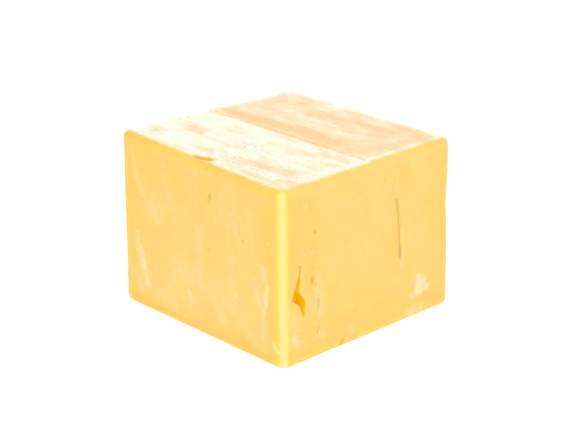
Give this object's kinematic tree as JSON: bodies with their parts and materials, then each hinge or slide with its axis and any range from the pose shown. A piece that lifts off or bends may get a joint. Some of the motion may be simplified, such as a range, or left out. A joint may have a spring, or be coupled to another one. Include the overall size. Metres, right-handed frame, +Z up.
{
  "type": "block of monterey jack cheese",
  "caption": "Block of semi-hard cheese with rounded edges, cut from a square loaf and stood on its cut end, for slicing, grating or display.",
  "frame": {"origin": "middle of the base, on the surface the block stands on", "axes": "+Z up through the cut top; -Y out of the left face of the picture and +X out of its right face, so that the near upright edge is at +X -Y"},
  "size_m": [0.0908, 0.0898, 0.0702],
  "materials": {
    "cheese": "smooth, slightly waxy cheese paste, yellow-orange on the sides, with a dry pale cream and peach skin on the cut top"
  },
  "bodies": {
    "root": {"cheese_block": "cheese"}
  },
  "joints": []
}
